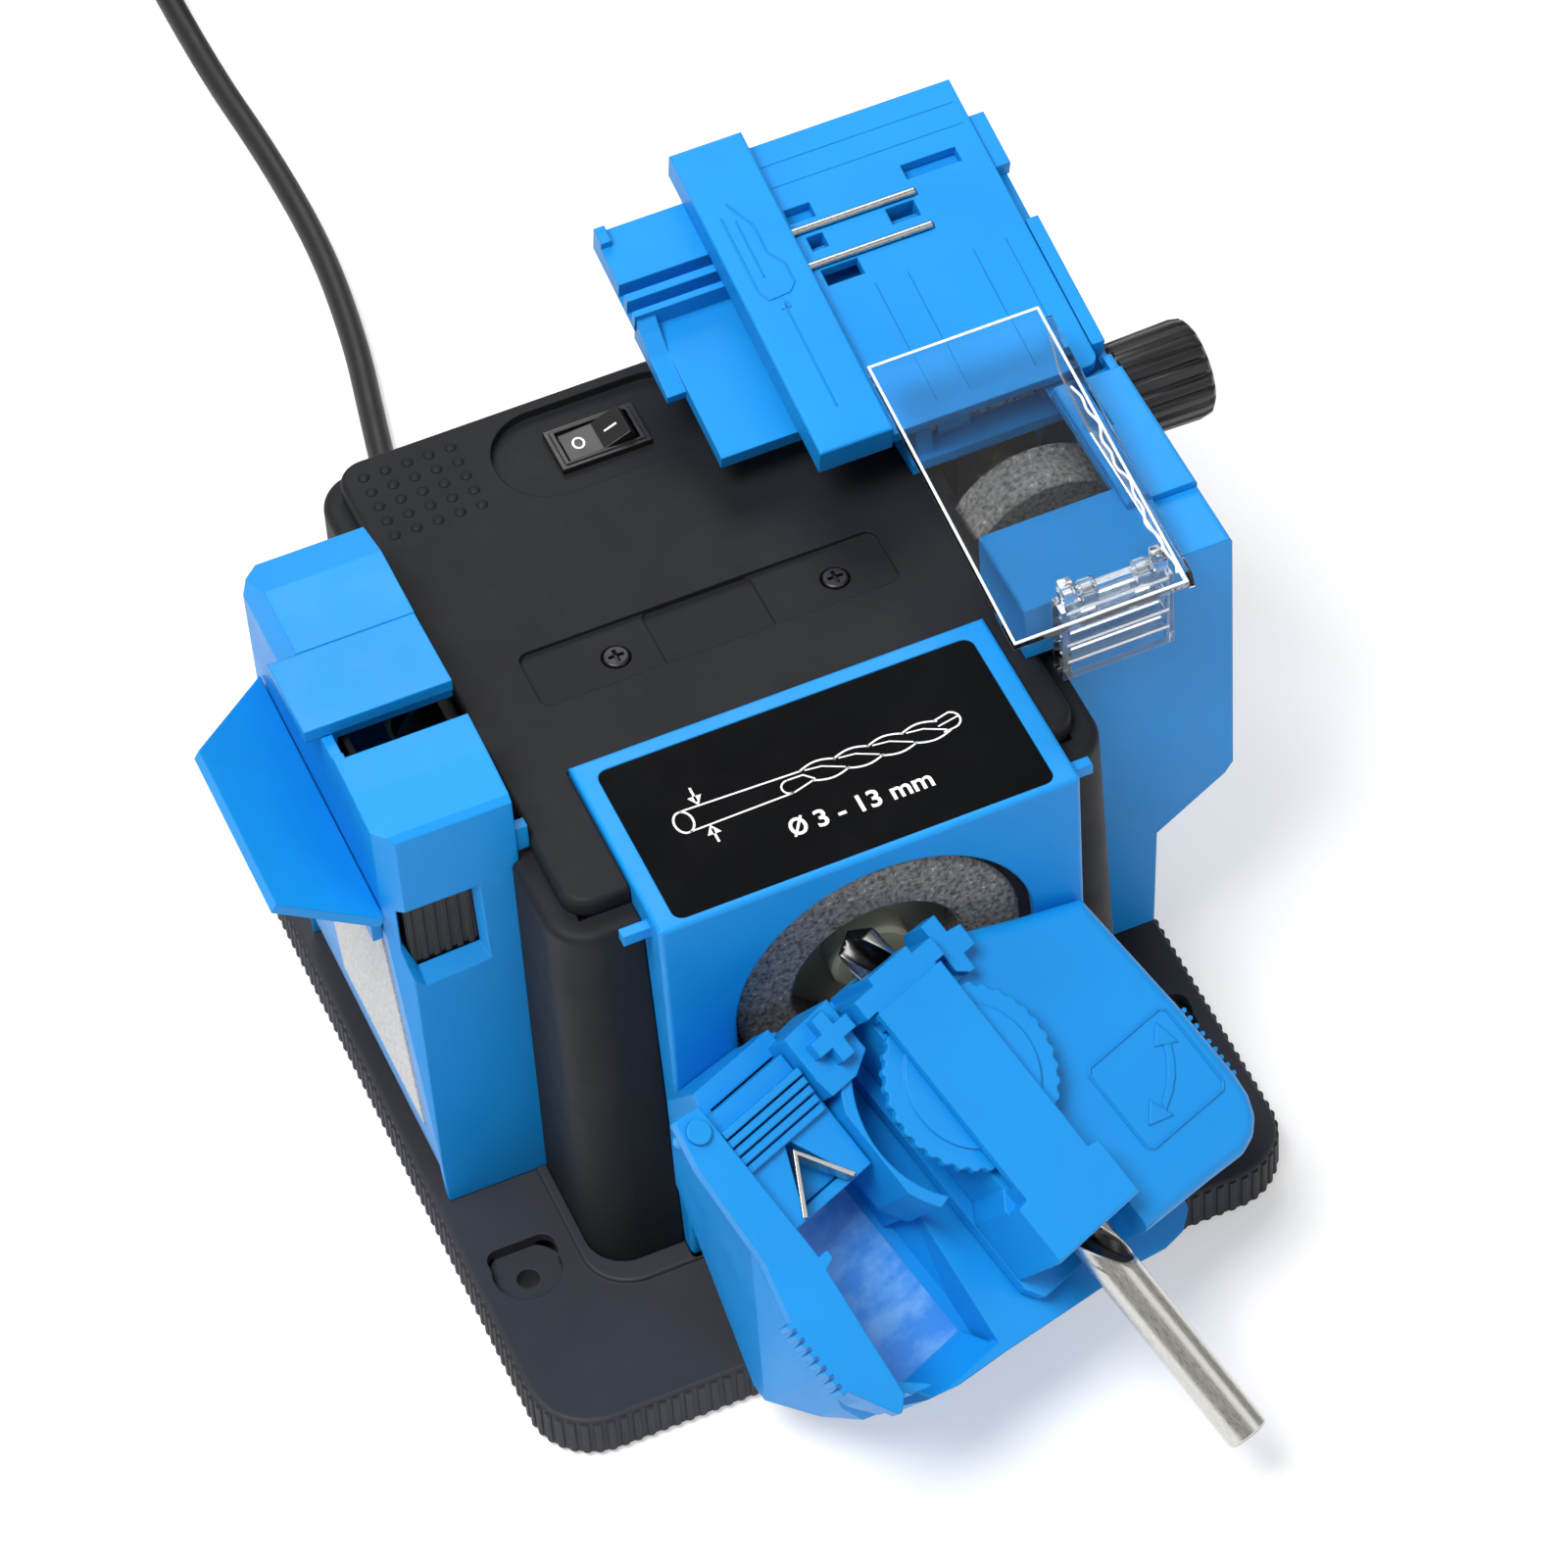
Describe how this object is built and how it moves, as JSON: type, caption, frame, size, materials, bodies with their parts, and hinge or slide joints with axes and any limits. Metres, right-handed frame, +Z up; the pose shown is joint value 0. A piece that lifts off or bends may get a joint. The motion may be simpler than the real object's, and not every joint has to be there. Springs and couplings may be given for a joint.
{
  "type": "drill bit sharpener",
  "caption": "Bench sharpener with a motor-driven ring wheel, a swinging drill-bit holder in front, and knife and chisel stations at its sides.",
  "frame": {"origin": "centre of the base outline, on the plane its rubber feet stand on", "axes": "+X to the machine's right, +Y to its back, +Z up; the user stands at -Y"},
  "size_m": [0.2472, 0.638, 0.1672],
  "materials": {
    "blue_plastic": "satin",
    "black_plastic": "fine texture",
    "base_plastic": "fine texture",
    "dark_plastic": "gloss",
    "label_film": "gloss film",
    "clear_plastic": "clear",
    "abrasive": "bonded grit",
    "stone": "fine grit",
    "hub_plastic": "moulded",
    "steel": "ground",
    "screw_steel": "blackened",
    "motor_steel": "satin",
    "alloy": "turned",
    "bronze": "sintered",
    "belt_rubber": "matte",
    "foot_rubber": "matte",
    "cord_rubber": "satin"
  },
  "bodies": {
    "machine": {"base_plate": "base_plastic", "bottom_cover": "base_plastic", "rubber_feet": "foot_rubber", "base_screws": "screw_steel", "motor_housing": "black_plastic", "top_plate": "black_plastic", "top_screws": "screw_steel", "switch_body": "dark_plastic", "strain_relief": "cord_rubber", "power_cord": "cord_rubber", "cord_coil": "cord_rubber", "mains_plug": "cord_rubber", "motor_can": "motor_steel", "motor_saddle": "black_plastic", "motor_bearings": "bronze", "left_belt": "belt_rubber", "left_bracket": "motor_steel", "right_belt": "belt_rubber", "right_bracket": "motor_steel", "spindle_bushes": "bronze", "front_housing": "blue_plastic", "label_plate": "label_film", "station_tray": "blue_plastic", "gauge_block": "blue_plastic", "gauge_jaws": "steel", "lever_pin": "blue_plastic", "cradle_pivot": "steel", "knife_housing": "blue_plastic", "scissor_guide": "blue_plastic", "honing_stone": "stone", "window_insert": "dark_plastic", "chisel_housing": "blue_plastic", "chisel_cover": "blue_plastic", "rest_pivot": "steel", "shield_bracket": "clear_plastic"},
    "rotor": {"motor_shaft": "steel", "front_wheel": "abrasive", "wheel_hub": "hub_plastic", "wheel_nut": "steel", "drive_pulley": "alloy"},
    "left_spindle": {"left_shaft": "steel", "left_wheel": "abrasive", "left_pulley": "alloy"},
    "right_spindle": {"right_shaft": "steel", "right_wheel": "abrasive", "right_pulley": "alloy"},
    "rocker": {"switch_rocker": "dark_plastic"},
    "cradle": {"swing_cradle": "blue_plastic"},
    "holder": {"drill_holder": "blue_plastic", "drill_bit": "steel"},
    "dial": {"clamp_dial": "blue_plastic", "clamp_pad": "steel"},
    "lever": {"gauge_lever": "blue_plastic"},
    "knife_guide": {"knife_guide_plate": "blue_plastic"},
    "rest": {"chisel_rest": "blue_plastic"},
    "carriage": {"chisel_carriage": "blue_plastic"},
    "bar": {"narrow_chisel_bar": "blue_plastic", "guide_rods": "steel"},
    "knob": {"angle_knob": "dark_plastic"},
    "shield": {"wheel_shield": "clear_plastic"}
  },
  "joints": [
    {"name": "rotor_spin", "type": "hinge", "parent": "machine", "child": "rotor", "pos_m": [0.0068, 0, 0.0848], "axis": [0, 1, 0], "continuous": true},
    {"name": "left_spindle_spin", "type": "hinge", "parent": "machine", "child": "left_spindle", "pos_m": [-0.052, 0, 0.088], "axis": [0, 1, 0], "continuous": true},
    {"name": "right_spindle_spin", "type": "hinge", "parent": "machine", "child": "right_spindle", "pos_m": [0.084, 0, 0.108], "axis": [0, 1, 0], "continuous": true},
    {"name": "rocker_tilt", "type": "hinge", "parent": "machine", "child": "rocker", "pos_m": [-0.00015, 0.075, 0.1238], "axis": [0, 1, 0], "range_deg": [0, 19]},
    {"name": "cradle_swing", "type": "hinge", "parent": "machine", "child": "cradle", "pos_m": [-0.00013, -0.07144, 0.08512], "axis": [0.2241, -0.528, 0.8192], "range_deg": [-8, 0]},
    {"name": "holder_slide", "type": "slide", "parent": "cradle", "child": "holder", "axis": [0.3201, -0.754, -0.5736], "range_m": [0, 0.015]},
    {"name": "dial_turn", "type": "hinge", "parent": "holder", "child": "dial", "pos_m": [0.01149, -0.09882, 0.08749], "axis": [0.2241, -0.528, 0.8192], "range_deg": [0, 180]},
    {"name": "lever_squeeze", "type": "hinge", "parent": "machine", "child": "lever", "pos_m": [-0.05068, -0.09567, 0.09921], "axis": [0.2241, -0.528, 0.8192], "range_deg": [-12, 0], "stiffness_Nm_per_rad": 0.1},
    {"name": "knife_guide_slide", "type": "slide", "parent": "machine", "child": "knife_guide", "axis": [0, -1, 0], "range_m": [0, 0.006]},
    {"name": "rest_tilt", "type": "hinge", "parent": "machine", "child": "rest", "pos_m": [0.06, 0.0378, 0.1354], "axis": [1, 0, 0], "range_deg": [0, 8]},
    {"name": "knob_turn", "type": "hinge", "parent": "machine", "child": "knob", "pos_m": [0.1104, 0.037, 0.1245], "axis": [1, 0, 0], "range_deg": [0, 240]},
    {"name": "carriage_slide", "type": "slide", "parent": "rest", "child": "carriage", "axis": [1, 0, 0], "range_m": [-0.012, 0]},
    {"name": "bar_slide", "type": "slide", "parent": "carriage", "child": "bar", "axis": [1, 0, 0], "range_m": [-0.006, 0]},
    {"name": "shield_lift", "type": "hinge", "parent": "machine", "child": "shield", "pos_m": [0.0782, -0.0309, 0.1466], "axis": [1, 0, 0], "range_deg": [0, 60]}
  ],
  "couplings": [
    {"joint": "left_spindle_spin", "follows": "rotor_spin", "ratio": 0.81818},
    {"joint": "right_spindle_spin", "follows": "rotor_spin", "ratio": 0.81818},
    {"joint": "knob_turn", "follows": "rest_tilt", "ratio": 30}
  ]
}
